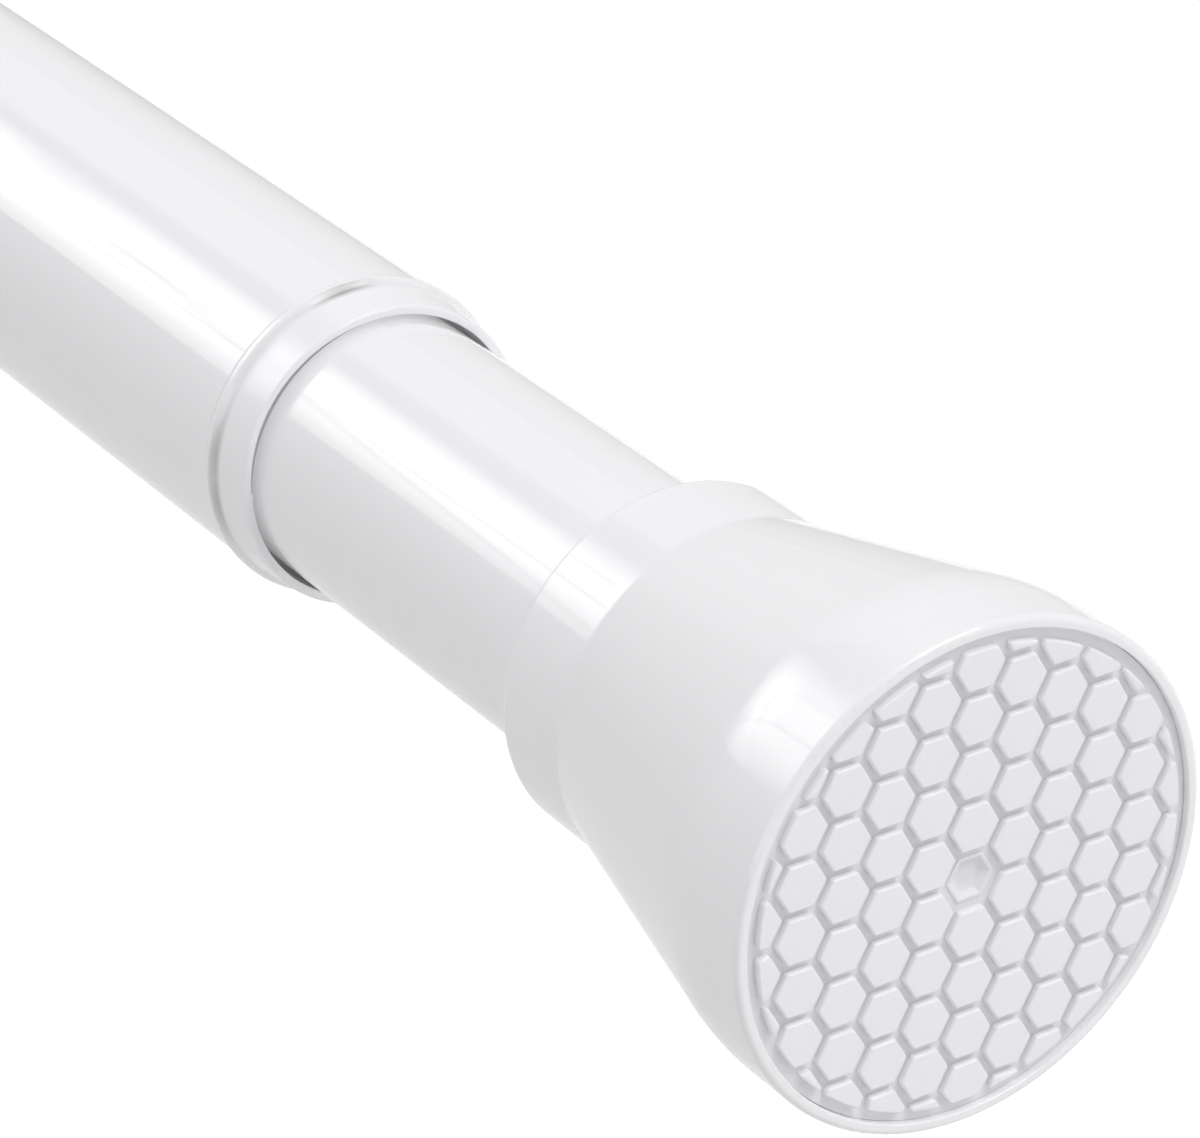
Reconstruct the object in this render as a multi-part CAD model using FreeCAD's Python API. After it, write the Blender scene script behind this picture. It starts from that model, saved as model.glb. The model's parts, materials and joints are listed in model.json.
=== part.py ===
import FreeCAD, Part
import math
import os

V = FreeCAD.Vector

# Spring tension rod: two telescoping painted steel tubes with a bell shaped foot on each end.
# Millimetres. The rod lies along X. The origin is the middle of the fixed foot's face, which
# looks along -X, and the sliding foot looks along +X. Z is up.

# Tubes
outer_tube_d = 25.4
outer_tube_wall = 0.8
outer_tube_length = 350.0
inner_tube_d = 22.2
inner_tube_wall = 0.7
inner_tube_shorter = 30.0
tube_end_round = 0.25
bead_depth = 0.5
bead_width = 2.4
bead_round = 0.4

# How far the tubes are drawn out as shown: collar nose to the edge of the sliding foot
shown_gap = 38.39

# Feet: one bell form, fitted to either tube
foot_d = 37.44
bell_length = 36.06
neck_wall = 2.59
neck_length = 7.2
neck_edge_round = 0.55
neck_blend = 2.5
skirt_straight = 6.7
skirt_blend = 18.0
rim_width = 0.87
rim_edge_round = 0.45
shell_wall = 2.0
socket_wall = 1.6
tube_seat_depth = 10.0
seat_lip = 2.0
seat_lip_length = 2.0
core_gap = 1.0
core_front_inset = 1.0
core_round = 0.4
core_blend = 2.0
recess_edge_round = 0.12
cap_ribs = 8
cap_rib_width = 1.2

# Honeycomb pad in the foot
pad_recess = 2.2
pad_base = 1.65
pad_edge_gap = 0.08
tile_field_inset = 0.85
tile_pitch = 3.95
tile_gap = 0.62
tile_bevel = 0.15
tile_root = 0.3
smallest_tile = 0.5
pit_drop = 0.42
pit_ridge = 0.25
pit_depth = 0.48
pit_floor = 1.9
pit_round = 0.3
pad_spigot_wall = 1.2
pad_spigot_length = 2.6

# Clear collar on the open end of the outer tube
collar_length = 4.95
collar_rim_d = 25.94
collar_rim_width = 0.85
collar_rim_round = 0.4
collar_groove_d = 25.2
collar_groove_width = 0.3
collar_groove_round = 0.15
collar_waist_d = 24.72
collar_waist_inset = 2.35
collar_waist_round = 8.0
collar_nose_d = 24.44
collar_nose_round = 0.25
collar_mouth_d = 23.0
collar_mouth_depth = 3.0
collar_mouth_taper = 0.5
collar_mouth_round = 0.12
collar_sleeve_length = 25.0
collar_sleeve_round = 0.2

# Lock: split sleeve, wedge nut and threaded spindle
sleeve_length = 30.0
hub_length = 8.0
finger_wall = 2.6
finger_taper = 2.4
finger_slots = 4
slot_width = 2.4
slot_root = 1.0
brake_ring_section = 1.6
part_edge_round = 0.3
nut_length = 13.0
nut_end_flat = 2.0
nut_behind_sleeve = 1.0
nut_rib_inset = 0.8
nut_rib_short = 1.0
spindle_d = 6.0
spindle_flats = 4.8
spindle_end_d = 5.0
spindle_flange_d = 15.0
spindle_flange_length = 2.0
spindle_tail = 8.0
spindle_end_round = 0.5
tail_clip_inset = 1.5
tip_past_clip = 1.8
blade_root = 0.5
clip_d = 10.0
clip_thickness = 0.8
clip_groove_depth = 0.5
clip_gap_width = 3.4
clip_relief = 0.9
clip_relief_width = 2.2

# Spring behind the sliding tube
spring_travel = 20.0
travel_spare = 1.0
spring_wire = 1.4
spring_mean_d = 16.0
spring_length = 50.0
spring_turns = 9
spring_closed_turns = 0.8
spring_opening_turns = 0.7
spring_arcs_per_turn = 4
spring_end_gap = 0.25
seat_thickness = 1.6
seat_boss_length = 3.0
bush_flange_length = 3.0
bush_body_length = 11.0
bush_pockets = 4
bush_pocket_width = 4.2
bush_pocket_wall = 1.6
bush_pocket_floor = 2.0
groove_side_gap = 0.3
groove_floor_gap = 0.2
plug_length = 10.0
plug_floor = 2.0
plug_wall = 2.0

# Clearances
running_fit = 0.10
seat_gap = 0.6
keyed_fit = 0.10
bore_fit = 0.05
assembly_fit = 0.03
guide_gap = 0.30

# Worked out from the sizes above
outer_r = outer_tube_d / 2
outer_bore_r = outer_r - outer_tube_wall
inner_r = inner_tube_d / 2
inner_bore_r = inner_r - inner_tube_wall
foot_r = foot_d / 2
rim_inner_r = foot_r - rim_width
tile_field_r = rim_inner_r - tile_field_inset
seat_r = inner_bore_r - seat_gap
inner_tube_length = outer_tube_length - inner_tube_shorter

outer_tube_start = tube_seat_depth
outer_tube_end = outer_tube_start + outer_tube_length
collar_nose_x = outer_tube_end + collar_length
sliding_bell_x = collar_nose_x + shown_gap
overall_length = sliding_bell_x + bell_length
inner_tube_end = overall_length - tube_seat_depth
inner_tube_start = inner_tube_end - inner_tube_length

bush_front_x = inner_tube_start + bush_body_length
flange_front_x = inner_tube_start - bush_flange_length - spring_travel - travel_spare
hub_front_x = flange_front_x - spindle_flange_length
hub_back_x = hub_front_x - hub_length
sleeve_back_x = hub_front_x - sleeve_length
nut_back_x = sleeve_back_x - nut_behind_sleeve
spindle_back_x = nut_back_x - spindle_tail
seat_front_x = bush_front_x + seat_thickness
tail_clip_x = spindle_back_x + tail_clip_inset
hub_clip_x = hub_back_x - clip_thickness
seat_clip_x = seat_front_x + seat_boss_length
spindle_front_x = seat_clip_x + tip_past_clip
plug_back_x = seat_front_x + spring_length


def rounded_wire(corners):
    """Close a wire in the XZ plane through corners (x, z, corner radius) with tangent arcs."""
    points = [V(x, 0, z) for x, z, _ in corners]
    count = len(corners)
    starts, ends, middles = [], [], []
    for i in range(count):
        here = points[i]
        back = (points[i - 1] - here).normalize()
        ahead = (points[(i + 1) % count] - here).normalize()
        radius = corners[i][2]
        if radius == 0:
            starts.append(here)
            ends.append(here)
            middles.append(None)
            continue
        half = back.getAngle(ahead) / 2
        reach = radius / math.tan(half)
        starts.append(here + back * reach)
        ends.append(here + ahead * reach)
        bisector = (back + ahead).normalize()
        middles.append(here + bisector * (radius / math.sin(half) - radius))
    edges = []
    for i in range(count):
        if middles[i] is not None:
            edges.append(Part.Arc(starts[i], middles[i], ends[i]).toShape())
        following = (i + 1) % count
        if (starts[following] - ends[i]).Length > 1e-6:
            edges.append(Part.LineSegment(ends[i], starts[following]).toShape())
    return Part.Wire(edges)


def turned(corners):
    """Turn a profile of (x, radius, corner radius) about the rod's axis."""
    face = Part.Face(rounded_wire(corners))
    return face.revolve(V(0, 0, 0), V(1, 0, 0), 360)


def ring(x0, x1, r_in, r_out):
    return turned([(x0, r_in, 0), (x1, r_in, 0), (x1, r_out, 0), (x0, r_out, 0)])


def rod(x0, x1, radius):
    return Part.makeCylinder(radius, x1 - x0, V(x0, 0, 0), V(1, 0, 0))


def radial_box(x0, x1, r0, r1, width, angle):
    """A box that runs outwards from the axis between two radii, turned about X."""
    box = Part.makeBox(x1 - x0, width, r1 - r0, V(x0, -width / 2, r0))
    box.rotate(V(0, 0, 0), V(1, 0, 0), angle)
    return box


def around(count, first_angle=0.0):
    return [first_angle + 360.0 / count * i for i in range(count)]


def hexagon(flats, x):
    """A hexagon with flats facing +Z and -Z, on the plane at x."""
    corner_r = flats / math.sqrt(3)
    corners = [V(x, corner_r * math.cos(math.radians(a)), corner_r * math.sin(math.radians(a)))
               for a in around(6)]
    return Part.makePolygon(corners + corners[:1])


def flatted_rod(x0, x1, diameter, flats):
    """A round bar with two flats that face +Z and -Z."""
    bar = rod(x0, x1, diameter / 2)
    window = Part.makeBox(x1 - x0, diameter, flats, V(x0, -diameter / 2, -flats / 2))
    return bar.common(window)


def beaded_tube(x0, x1, r_in, wall, bead_places):
    """A tube whose wall is rolled inwards in a shallow bead at each place."""
    r_out = r_in + wall
    outside, inside = [(x0, r_out, tube_end_round)], []
    for x in bead_places:
        half = bead_width / 2
        top = [(x - half, 0.0), (x - half / 3, bead_depth), (x + half / 3, bead_depth), (x + half, 0.0)]
        outside += [(px, r_out - drop, bead_round) for px, drop in top]
        inside += [(px, r_in - drop, bead_round) for px, drop in top]
    outside.append((x1, r_out, tube_end_round))
    return turned(outside + [(x1, r_in, 0)] + inside[::-1] + [(x0, r_in, 0)])


def make_bell_cap(tube_r):
    """Moulded bell whose foot looks along +X at x = 0 and whose socket takes a tube from behind."""
    neck_r = tube_r + neck_wall
    neck_front_x = -bell_length + neck_length
    slope = (foot_r - neck_r) / (-skirt_straight - neck_front_x)
    socket_r = tube_r + assembly_fit
    socket_out_r = socket_r + socket_wall
    lip_r = socket_r - seat_lip
    shell = turned([
        (-bell_length, socket_r, 0),
        (-bell_length, neck_r, neck_edge_round),
        (neck_front_x, neck_r, neck_blend),
        (-skirt_straight, foot_r, skirt_blend),
        (0, foot_r, rim_edge_round),
        (0, rim_inner_r, recess_edge_round),
        (-pad_recess, rim_inner_r, 0),
        (-pad_recess, lip_r, 0),
        (-tube_seat_depth + seat_lip_length, lip_r, 0),
        (-tube_seat_depth, lip_r, 0),
        (-tube_seat_depth, socket_r, 0),
    ])
    core_back_x = neck_front_x + (socket_out_r + core_gap + shell_wall - neck_r) / slope
    core_r = foot_r - shell_wall - slope * core_front_inset
    core = turned([
        (core_back_x, socket_out_r, 0),
        (core_back_x, socket_out_r + core_gap, core_round),
        (-skirt_straight - core_front_inset, core_r, core_blend),
        (-pad_recess, core_r, 0),
        (-pad_recess, socket_out_r, 0),
    ])
    for angle in around(cap_ribs):
        core = core.cut(radial_box(core_back_x - 1, 0, socket_out_r - 1, foot_r, cap_rib_width, angle))
    return shell.cut(core)


def tile_places():
    """Honeycomb centres whose tiles reach into the round tile field, the middle one left out."""
    places = []
    column_step = tile_pitch * math.cos(math.radians(30))
    reach = int(tile_field_r / column_step) + 2
    for column in range(-reach, reach + 1):
        for row in range(-reach, reach + 1):
            y = column * column_step
            z = (row + (column % 2) / 2) * tile_pitch
            reaches_in = math.hypot(y, z) < tile_field_r + tile_pitch / 2 - smallest_tile
            if (column, row) != (0, 0) and reaches_in:
                places.append((y, z))
    return places


def make_pad(tube_r):
    """Soft pad with a honeycomb of bevelled tiles and a sunken middle cell; its face is at x = 0."""
    base_front_x = -pad_recess + pad_base
    base = rod(-pad_recess, base_front_x, rim_inner_r - pad_edge_gap)
    spigot_r = tube_r - seat_lip
    spigot = ring(-pad_recess - pad_spigot_length, -pad_recess, spigot_r - pad_spigot_wall, spigot_r)
    flats = tile_pitch - tile_gap
    root_x = base_front_x - tile_root
    tile = Part.makeLoft([hexagon(flats, root_x),
                          hexagon(flats, -tile_bevel),
                          hexagon(flats - 2 * tile_bevel, 0)], True, True)
    tiles = []
    field = rod(root_x, 0, tile_field_r)
    for y, z in tile_places():
        placed = tile.copy()
        placed.translate(V(0, y, z))
        if math.hypot(y, z) + flats / math.sqrt(3) > tile_field_r:
            placed = placed.common(field)
        tiles += placed.Solids
    ridge = Part.makeLoft([hexagon(flats, root_x), hexagon(flats, -pit_drop)], True, True)
    bowl = Part.makeLoft([hexagon(pit_floor, -pit_drop - pit_depth),
                          hexagon(flats - 2 * pit_ridge, -pit_drop)], True, True)
    below_mouth = [edge for edge in bowl.Edges if edge.BoundBox.XMin < -pit_drop - pit_depth / 2]
    bowl = bowl.makeFillet(pit_round, below_mouth)
    return base.fuse([spigot, ridge] + tiles).removeSplitter().cut(bowl)


def make_clear_collar():
    """Clear collar: a rounded rim against the tube's end, a groove, a waisted nose, an inner sleeve."""
    bore_r = inner_r + running_fit
    sleeve_r = outer_bore_r - assembly_fit
    rim_r = collar_rim_d / 2
    rim_x = outer_tube_end + collar_rim_width
    sleeve_x = outer_tube_end - collar_sleeve_length
    mouth_r = collar_mouth_d / 2
    mouth_x = collar_nose_x - collar_mouth_depth
    return turned([
        (sleeve_x, bore_r, 0),
        (sleeve_x, sleeve_r, collar_sleeve_round),
        (outer_tube_end, sleeve_r, 0),
        (outer_tube_end, rim_r, collar_rim_round),
        (rim_x, rim_r, collar_rim_round),
        (rim_x + collar_groove_width, collar_groove_d / 2, collar_groove_round),
        (collar_nose_x - collar_waist_inset, collar_waist_d / 2, collar_waist_round),
        (collar_nose_x, collar_nose_d / 2, collar_nose_round),
        (collar_nose_x, mouth_r, collar_mouth_round),
        (mouth_x, mouth_r, 0),
        (mouth_x - collar_mouth_taper, bore_r, 0),
    ])


def nut_radius(x):
    """Outside radius of the wedge nut, which follows the fingers' tapered mouth."""
    mouth_r = outer_bore_r - running_fit - finger_wall + finger_taper / 2
    small_r = mouth_r - finger_taper
    span = nut_length - nut_end_flat
    return mouth_r - (x - sleeve_back_x) / span * (mouth_r - small_r)


def make_lock_sleeve():
    """Split expanding sleeve: a solid hub in front and fingers that point back over the wedge nut."""
    out_r = outer_bore_r - running_fit
    inner_wall_r = out_r - finger_wall - finger_taper / 2
    mouth_end_x = nut_back_x + nut_length
    body = turned([
        (sleeve_back_x, nut_radius(sleeve_back_x) + running_fit, 0),
        (sleeve_back_x, out_r, part_edge_round),
        (hub_front_x, out_r, part_edge_round),
        (hub_front_x, spindle_d / 2 + bore_fit, 0),
        (hub_back_x, spindle_d / 2 + bore_fit, 0),
        (hub_back_x, inner_wall_r, part_edge_round),
        (mouth_end_x, nut_radius(mouth_end_x) + running_fit, 0),
    ])
    for angle in around(finger_slots):
        slot = radial_box(nut_back_x, hub_back_x - slot_root, spindle_d / 2, outer_r, slot_width, angle)
        body = body.cut(slot)
    groove_x = (hub_front_x + hub_back_x) / 2
    half = brake_ring_section / 2
    groove = ring(groove_x - half - assembly_fit, groove_x + half + assembly_fit,
                  out_r - brake_ring_section - assembly_fit, outer_r)
    return body.cut(groove)


def make_brake_ring():
    """Rubber ring in the hub's groove, which drags on the tube so that the sleeve stays still."""
    section_r = brake_ring_section / 2
    middle_r = outer_bore_r - running_fit - section_r
    groove_x = (hub_front_x + hub_back_x) / 2
    return Part.makeTorus(middle_r, section_r, V(groove_x, 0, 0), V(1, 0, 0))


def make_wedge_nut():
    """Tapered nut that the spindle draws into the fingers; its ribs slide in the fingers' slots."""
    nut_front_x = nut_back_x + nut_length
    big_r = nut_radius(sleeve_back_x)
    body = turned([
        (nut_back_x, spindle_d / 2 + bore_fit, 0),
        (nut_back_x, big_r, part_edge_round),
        (sleeve_back_x, big_r, 0),
        (nut_front_x, nut_radius(nut_front_x), part_edge_round),
        (nut_front_x, spindle_d / 2 + bore_fit, 0),
    ])
    rib_width = slot_width - 2 * running_fit
    rib_r = outer_bore_r - running_fit - nut_rib_inset
    ribs = []
    for angle in around(finger_slots):
        ribs.append(radial_box(nut_back_x, nut_front_x - nut_rib_short, spindle_d, rib_r, rib_width, angle))
    return body.fuse(ribs).removeSplitter()


def make_spindle():
    """Steel spindle: threaded tail for the nut, flange against the hub, flats through the bush."""
    r = spindle_d / 2
    end_r = spindle_end_d / 2
    neck_r = end_r - clip_groove_depth
    groove_r = r - clip_groove_depth
    tail = turned([
        (spindle_back_x, 0, 0),
        (spindle_back_x, r, spindle_end_round),
        (tail_clip_x, r, 0),
        (tail_clip_x, groove_r, 0),
        (tail_clip_x + clip_thickness, groove_r, 0),
        (tail_clip_x + clip_thickness, r, 0),
        (hub_clip_x, r, 0),
        (hub_clip_x, groove_r, 0),
        (hub_back_x, groove_r, 0),
        (hub_back_x, r, 0),
        (hub_front_x, r, 0),
        (hub_front_x, spindle_flange_d / 2, part_edge_round),
        (flange_front_x, spindle_flange_d / 2, part_edge_round),
        (flange_front_x, 0, 0),
    ])
    blade = flatted_rod(flange_front_x - blade_root, bush_front_x, spindle_d, spindle_flats)
    tip = turned([
        (bush_front_x - blade_root, 0, 0),
        (bush_front_x - blade_root, end_r, 0),
        (seat_clip_x, end_r, 0),
        (seat_clip_x, neck_r, 0),
        (seat_clip_x + clip_thickness, neck_r, 0),
        (seat_clip_x + clip_thickness, end_r, 0),
        (spindle_front_x, end_r, spindle_end_round),
        (spindle_front_x, 0, 0),
    ])
    tip = tip.common(flatted_rod(hub_front_x, spindle_front_x, spindle_d, spindle_flats))
    return tail.fuse([blade, tip]).removeSplitter()


def make_clip(x, shaft_r):
    """Open retaining clip in a groove of the spindle, its gap facing down."""
    neck_r = shaft_r - clip_groove_depth + assembly_fit
    x0 = x + assembly_fit / 2
    x1 = x + clip_thickness - assembly_fit / 2
    clip = ring(x0, x1, neck_r, clip_d / 2)
    for angle in (0.0, 120.0, 240.0):
        relief = ring(x0, x1, neck_r, shaft_r + clip_relief)
        wedge = radial_box(x0, x1, 0, clip_d, clip_relief_width, angle)
        clip = clip.cut(relief.common(wedge))
    return clip.cut(radial_box(x, x + clip_thickness, 0, clip_d, clip_gap_width, 180))


def make_guide_bush():
    """Bush in the sliding tube's inner end: flange, grooved body, keyed bore, moulded pockets."""
    body_r = inner_bore_r - assembly_fit
    groove_x = inner_tube_start + bush_body_length / 2
    half = bead_width / 2 + groove_side_gap
    drop = bead_depth + groove_floor_gap
    bush = turned([
        (inner_tube_start - bush_flange_length, 0, 0),
        (inner_tube_start - bush_flange_length, outer_bore_r - guide_gap, part_edge_round),
        (inner_tube_start, outer_bore_r - guide_gap, 0),
        (inner_tube_start, body_r, 0),
        (groove_x - half, body_r, 0),
        (groove_x - half, body_r - drop, 0),
        (groove_x + half, body_r - drop, 0),
        (groove_x + half, body_r, 0),
        (bush_front_x, body_r, part_edge_round),
        (bush_front_x, 0, 0),
    ])
    bore = flatted_rod(flange_front_x, plug_back_x,
                       spindle_d + 2 * keyed_fit, spindle_flats + 2 * keyed_fit)
    bush = bush.cut(bore)
    pocket_in_r = spindle_d / 2 + bush_pocket_wall
    pocket_out_r = body_r - drop - bush_pocket_wall
    pocket_end_x = bush_front_x - bush_pocket_floor
    for angle in around(bush_pockets, 45.0):
        pocket = ring(flange_front_x, pocket_end_x, pocket_in_r, pocket_out_r)
        wedge = radial_box(flange_front_x, pocket_end_x, 0, outer_r, bush_pocket_width, angle)
        bush = bush.cut(pocket.common(wedge))
    return bush


def make_spring_seat():
    """Cupped washer that carries the spring's end and slides with the spindle's tip."""
    bore_r = spindle_end_d / 2 + bore_fit
    boss_r = (spring_mean_d - spring_wire) / 2 - guide_gap
    return turned([
        (bush_front_x, bore_r, 0),
        (bush_front_x, seat_r, part_edge_round),
        (seat_front_x, seat_r, part_edge_round),
        (seat_front_x, boss_r, 0),
        (seat_front_x + seat_boss_length, boss_r, part_edge_round),
        (seat_front_x + seat_boss_length, bore_r, 0),
    ])


def make_spring():
    """Compression spring with closed ends, a chain of short arcs whose pitch opens past each end turn."""
    half_arcs = 2 * spring_turns * spring_arcs_per_turn
    closed_pitch = spring_wire + spring_end_gap
    shares = []
    for i in range(half_arcs):
        turns_in = (i + 0.5) * spring_turns / half_arcs
        from_end = min(turns_in, spring_turns - turns_in)
        shares.append(min(max((from_end - spring_closed_turns) / spring_opening_turns, 0.0), 1.0))
    closed_height = closed_pitch * spring_turns
    extra = (spring_length - spring_wire - closed_height) * half_arcs / sum(shares)
    points = []
    x = seat_front_x + spring_wire / 2
    for i in range(half_arcs + 1):
        angle = 2 * math.pi * i * spring_turns / half_arcs
        points.append(V(x, spring_mean_d / 2 * math.cos(angle), spring_mean_d / 2 * math.sin(angle)))
        if i < half_arcs:
            x += closed_height / half_arcs + extra * shares[i] / half_arcs
    arcs = [Part.Arc(*points[i:i + 3]).toShape() for i in range(0, half_arcs, 2)]
    start_direction = arcs[0].tangentAt(arcs[0].FirstParameter)
    section = Part.Face(Part.Wire(Part.makeCircle(spring_wire / 2, points[0], start_direction)))
    return Part.Wire(arcs).makePipe(section)


def make_stop_plug():
    """Plug held by the rolled bead in the sliding tube, with a post for the spring's far end."""
    body_r = inner_bore_r - assembly_fit
    groove_x = plug_back_x + plug_length / 2
    half = bead_width / 2 + groove_side_gap
    drop = bead_depth + groove_floor_gap
    post_r = (spring_mean_d - spring_wire) / 2 - guide_gap
    plug = turned([
        (plug_back_x - seat_boss_length, 0, 0),
        (plug_back_x - seat_boss_length, post_r, part_edge_round),
        (plug_back_x, post_r, 0),
        (plug_back_x, body_r, part_edge_round),
        (groove_x - half, body_r, 0),
        (groove_x - half, body_r - drop, 0),
        (groove_x + half, body_r - drop, 0),
        (groove_x + half, body_r, 0),
        (plug_back_x + plug_length, body_r, part_edge_round),
        (plug_back_x + plug_length, 0, 0),
    ])
    hollow_x = plug_back_x + plug_floor
    return plug.cut(rod(hollow_x, plug_back_x + plug_length, body_r - drop - plug_wall))


def face_forward(shape):
    shape.translate(V(overall_length, 0, 0))
    return shape


def face_back(shape):
    shape.rotate(V(0, 0, 0), V(0, 0, 1), 180)
    return shape


def build():
    bush_bead_x = inner_tube_start + bush_body_length / 2
    plug_bead_x = plug_back_x + plug_length / 2
    shaft_r = spindle_d / 2
    tip_r = spindle_end_d / 2
    return {
        "outer_tube": beaded_tube(outer_tube_start, outer_tube_end, outer_bore_r, outer_tube_wall, []),
        "clear_collar": make_clear_collar(),
        "fixed_end_cap": face_back(make_bell_cap(outer_r)),
        "fixed_end_pad": face_back(make_pad(outer_r)),
        "lock_sleeve": make_lock_sleeve(),
        "brake_ring": make_brake_ring(),
        "wedge_nut": make_wedge_nut(),
        "spindle": make_spindle(),
        "tail_clip": make_clip(tail_clip_x, shaft_r),
        "hub_clip": make_clip(hub_clip_x, shaft_r),
        "spring_seat": make_spring_seat(),
        "seat_clip": make_clip(seat_clip_x, tip_r),
        "spring": make_spring(),
        "inner_tube": beaded_tube(inner_tube_start, inner_tube_end, inner_bore_r, inner_tube_wall,
                                  [bush_bead_x, plug_bead_x]),
        "guide_bush": make_guide_bush(),
        "stop_plug": make_stop_plug(),
        "sliding_end_cap": face_forward(make_bell_cap(inner_r)),
        "sliding_end_pad": face_forward(make_pad(inner_r)),
    }


os.makedirs("parts", exist_ok=True)
for name, shape in build().items():
    solids = shape.Solids
    print(name, "solids", len(solids), "valid", shape.isValid(), "volume", round(shape.Volume, 1))
    shape.exportStep("parts/" + name + ".step")
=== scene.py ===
"""Spring tension rod: finishes, soft pads, clear collar, spring and a pale studio."""

import json
import math

import bpy
from mathutils import Matrix, Vector


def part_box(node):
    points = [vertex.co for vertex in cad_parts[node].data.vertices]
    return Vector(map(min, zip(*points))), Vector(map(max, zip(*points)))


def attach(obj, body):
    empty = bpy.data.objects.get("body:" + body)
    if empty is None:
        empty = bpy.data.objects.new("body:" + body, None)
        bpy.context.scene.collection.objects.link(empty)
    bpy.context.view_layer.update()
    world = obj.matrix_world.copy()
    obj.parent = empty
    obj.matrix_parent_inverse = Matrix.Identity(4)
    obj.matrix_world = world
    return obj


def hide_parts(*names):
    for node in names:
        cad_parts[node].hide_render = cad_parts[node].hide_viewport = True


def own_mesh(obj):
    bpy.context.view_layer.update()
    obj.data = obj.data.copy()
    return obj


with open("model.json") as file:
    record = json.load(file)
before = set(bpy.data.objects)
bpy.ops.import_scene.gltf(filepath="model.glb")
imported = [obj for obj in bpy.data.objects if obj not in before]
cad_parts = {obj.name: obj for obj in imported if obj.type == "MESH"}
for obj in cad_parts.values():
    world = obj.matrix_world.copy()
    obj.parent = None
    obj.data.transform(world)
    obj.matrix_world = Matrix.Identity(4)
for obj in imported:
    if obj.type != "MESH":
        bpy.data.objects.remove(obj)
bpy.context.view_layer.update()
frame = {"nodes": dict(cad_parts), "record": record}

bl_info = {
    "name": "Spring Tension Rod",
    "version": (1, 0, 0),
    "blender": (4, 5, 0),
    "location": "View3D > Sidebar > Rod",
    "description": "Builds the finishes and fine pieces of a spring tension rod",
    "category": "Object",
}

MM = 0.001

# How finely round shapes are cut into faces, and from which angle on an edge counts as sharp
ARC_STEP = math.radians(10.0)
TURNED_STEPS = 192
EDGE_SEGMENTS = 3
CELL_SEGMENTS = 5
WIRE_STEPS = 40
WIRE_ROUNDNESS = 6
FLOOR_CORNERS = 96
SHARP_EDGE = math.radians(35.0)
SHARP_PAD_EDGE = math.radians(40.0)
SHARP_WIRE_EDGE = math.radians(50.0)

# Points nearer than WELD become one; a face looks along the rod where its normal's X passes FACING
WELD = 0.002 * MM
FACING = 0.9

SPARE_COLUMNS = 2
SMALLEST_TILE = 0.5 * MM
SHORTEST_EDGE = 0.25 * MM
PAD_FREEDOM = 0.02 * MM
SPIGOT_LENGTH = 2.6 * MM
SPIGOT_WALL = 1.2 * MM
SPIGOT_INSET = 2.0 * MM

# The middle cell: depths as shares of the pad's thickness, roundings as shares of what they round
CELL_BASE_DEPTH = 0.8
CELL_ROOM_DEPTH = 0.9
CELL_TAPER = 0.67
HOLLOW_ROUNDING = 0.6
RIDGE_ROUNDING = 0.3

RUNNING_FIT = 0.1 * MM
TUBE_WALL = 0.83 * MM
SLEEVE_ROUNDING = 0.2 * MM
COLLAR_RIM_WIDTH = 0.85 * MM
RIM_ROUNDING = 0.4 * MM
GROOVE_ROUNDING = 0.15 * MM
NOSE_ROUNDING = 0.25 * MM
MOUTH_ROUNDING = 0.12 * MM

SPRING_END_GAP = 0.25 * MM

# The clear collar's painted shade lines: a middle and a reach about the rod in degrees, then their sizes
UPPER_LINE = (95.0, 16.0)
FRONT_LINE = (172.0, 26.0)
CRESCENT = (142.0, 62.0)
CRESCENT_WIDTH = 0.34 * MM
CRESCENT_EDGE = 0.05 * MM
CREASE_REACH = 0.7 * MM
CREASE_UPPER = 1.6
CREASE_LEAST = 0.25
FACE_START = 0.3 * MM
FACE_FULL = 0.1 * MM
MOUTH_START = 0.06 * MM
MOUTH_FULL = 0.02 * MM

# How dark each of those painted shade lines is, and how much light the collar lets through to other things
CREASE_PAINTED_SHADE = 0.3
CRESCENT_PAINTED_SHADE = 0.6
MOUTH_PAINTED_SHADE = 0.95
LIGHT_PASSED = 0.85
CLEAR_FILTER = (0.97, 0.97, 0.97, 1.0)

# The pad's colour gets painted shade below this share of its grooves' depth; a small share of that darkening
# is cloudiness
GROOVE_PAINTED_SHADE_TOP = 0.4
CLOUD_SHARE = 0.1

# How closely the lines of drawn steel follow each other along the rod and across it
DRAWN_LINES = (60.0, 2500.0, 2500.0)

# The softbox's top edge and each of its seams are straight lines between two directions
SOFTBOX_TOP = ((-0.709, -0.171, 0.684), (-0.810, -0.087, 0.580))
SEAMS = (
    ((-0.705, -0.305, 0.640), (-0.831, -0.345, 0.437)),
    ((-0.705, -0.467, 0.534), (-0.830, -0.394, 0.395)),
    ((-0.825, -0.195, 0.531), (-0.749, -0.548, 0.373)),
)
BACK_PANEL_EDGE = (-0.096, 0.971, -0.219)
FILL_LIGHT = (0.349, -0.915, -0.24)
EDGE_LIGHT = (0.45, 0.3, 0.84)
LOW_LIGHT = (0.6, 0.8, 0.0)

# Soft edges: nothing at the first value and full at the second, as a direction's distance from a
# plane or its share along an axis. The softbox's near edge is the one towards the sliding foot
TOP_EDGE = (0.0, 0.02)
BOTTOM_EDGE = (0.0, 0.015)
NEAR_EDGE = (0.52, 0.56)
FAR_EDGE = (0.92, 0.908)
SEAM_EDGE = (0.004, 0.016)
PANEL_EDGE = (-0.015, 0.02)
FILL_SPREAD = (0.70, 0.92)
EDGE_SPREAD = (0.945, 0.975)
LOW_SPREAD = (-0.3, 0.5)
HORIZON = (-0.03, 0.03)
SLOT_TOP = (0.0, -0.02)
SLOT_SIDE = (0.4, 0.6)
FLOOR_SIDE = (-1.0, 1.0)

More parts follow.
